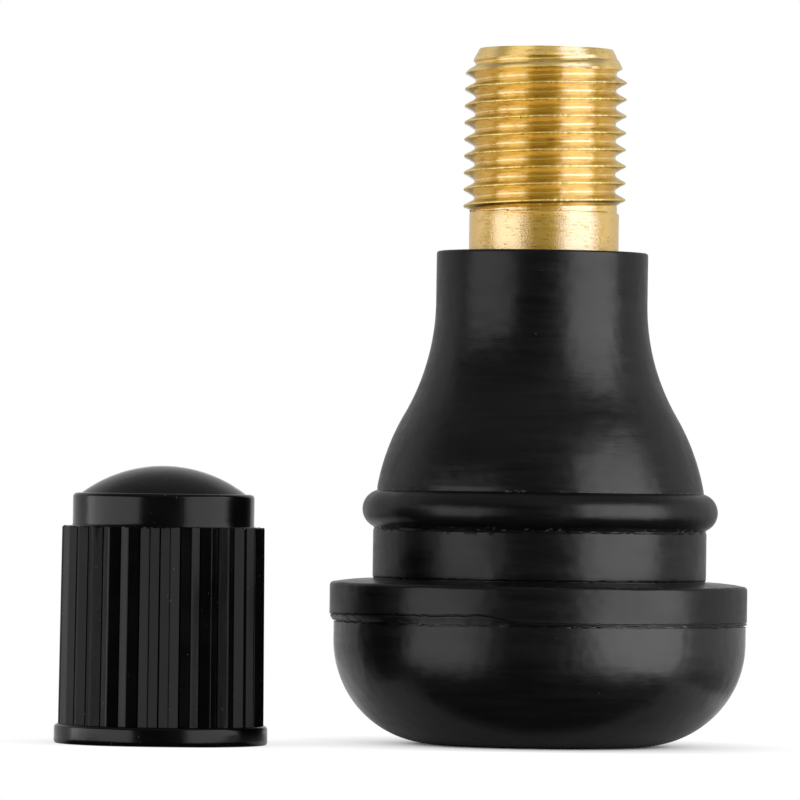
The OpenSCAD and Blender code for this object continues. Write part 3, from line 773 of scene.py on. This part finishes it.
def world():
    """White to the camera. To the object it is a studio: a pale backdrop behind, a dim ceiling
    and a dark room in front."""
    scene.world = bpy.data.worlds.new("studio")
    t = NodeTree(scene.world)
    ramp = lambda *values: t.spread(*values, smooth=True)
    split, path = t.add("SeparateXYZ"), t.add("LightPath")
    t.put(split.inputs["Vector"], t.add("TexCoord").outputs["Generated"])
    depth, height = split.outputs["Y"], split.outputs["Z"]
    front = ramp(depth, -0.75, -0.4, 0.10, 0.11)
    backdrop = ramp(depth, 0.35, 0.75, 0.68, 0.48)
    ceiling = ramp(depth, -0.6, 0.6, 0.33, 0.29)
    level = ramp(depth, 0.06, 0.18, front, backdrop)
    level = ramp(height, 0.45, 0.75, level, ceiling)
    level = ramp(height, -0.55, -0.05, 0.03, level)
    for ray in ("Is Glossy Ray", "Is Transmission Ray"):
        level = ramp(path.outputs[ray], 0.0, 1.0, level, ramp(depth, 0.96, 0.995, level, 1.0))
    level = ramp(path.outputs["Is Camera Ray"], 0.0, 1.0, level, 1.0)
    back, out = t.add("Background"), t.add("OutputWorld")
    t.put(back.inputs["Color"], (1.0, 1.0, 1.0, 1.0))
    t.put(back.inputs["Strength"], level)
    t.put(out.inputs["Surface"], back.outputs["Background"])


def softbox(name, azimuth, width, low, high, radiance, colour, pieces, lit):
    """Upright area light half a metre from the object. azimuth is from the camera's side to the
    right, and low and high are its edges in metres. It lights only the pieces, or all but these."""
    distance, height = 0.5, high - low
    a = math.radians(azimuth)
    light = bpy.data.lights.new(name, "AREA")
    light.shape, light.size, light.size_y = "RECTANGLE", width, height
    light.color = colour
    light.energy = radiance * 4 * width * height
    obj = bpy.data.objects.new(name, light)
    obj.location = (distance * math.sin(a), -distance * math.cos(a), (low + high) / 2)
    obj.rotation_mode = "QUATERNION"
    obj.rotation_quaternion = Vector((-math.sin(a), math.cos(a), 0)).to_track_quat("-Z", "Y")
    obj.visible_camera = False
    scene.collection.objects.link(obj)
    group = bpy.data.collections.new(name)
    for piece in pieces:
        group.objects.link(bpy.data.objects[piece])
    for member in group.collection_objects:
        member.light_linking.link_state = "INCLUDE" if lit else "EXCLUDE"
    obj.light_linking.receiver_collection = group


WHITE, PALE, COOL = (1.0, 0.98, 1.0), (0.97, 0.99, 1.18), (0.93, 0.99, 1.45)
AMBER, WARM = (1.0, 0.88, 0.5), (1.0, 0.72, 0.10)
STEM, CAP = ["stem_turned"], ["cap_ribbed"]

# Name, azimuth, width, lower and upper edge, radiance, colour, pieces, and whether only these are lit
LAMPS = (
    ("softbox_right", 57.0, 0.577, -0.25, 0.42, 3.45, WHITE, CAP + STEM, False),
    ("softbox_left", -59.0, 0.51, -0.25, 0.17, 1.65, WHITE, CAP + STEM, False),
    ("softbox_stem_right", 57.0, 0.577, -0.25, 0.42, 1.4, COOL, STEM, True),
    ("softbox_stem_right_tall", 57.0, 0.577, -0.9, 1.0, 1.1, COOL, STEM, True),
    ("softbox_stem_left", -59.0, 0.51, -0.25, 0.25, 1.15, PALE, STEM, True),
    ("softbox_stem_left_tall", -59.0, 0.51, -0.9, 1.0, 0.7, AMBER, STEM, True),
    ("softbox_stem_back_right", 128.0, 0.75, -0.25, 0.42, 0.17, WARM, STEM, True),
    ("softbox_stem_back_left", -128.0, 0.75, -0.25, 0.42, 0.17, WARM, STEM, True),
    ("softbox_stem_front", 0.0, 0.46, -0.25, 0.30, 0.15, WARM, STEM, True),
    ("softbox_stem_high", 0.0, 1.8, 0.30, 0.85, 0.35, WARM, STEM, True),
    ("softbox_cap_right", 69.0, 0.87, -0.25, 0.42, 2.6, WHITE, CAP, True),
    ("softbox_cap_left", -70.0, 0.84, -0.25, 0.17, 2.55, WHITE, CAP, True),
)


def camera():
    """Long lens in front, rolled a little to share out the lean of the photo's stem."""
    cam = bpy.data.cameras.new("photo_view")
    cam.lens, cam.sensor_width = 336.6, 36.0
    cam.clip_start, cam.clip_end = 0.01, 20.0
    obj = bpy.data.objects.new("photo_view", cam)
    place = Matrix.Translation((-6.72 * MM, -355.0 * MM, 12.48 * MM))
    tilt = Matrix.Rotation(math.radians(90.61), 4, "X")
    roll = Matrix.Rotation(math.radians(0.8), 4, "Z")
    obj.matrix_world = place @ tilt @ roll
    scene.collection.objects.link(obj)
    scene.camera = obj


camera()
rubber_body()
brass_stem()
core_plug()
core_pin()
core_spring()
dust_cap()
cad_nodes()
table_top()
world()
for lamp in LAMPS:
    softbox(*lamp)
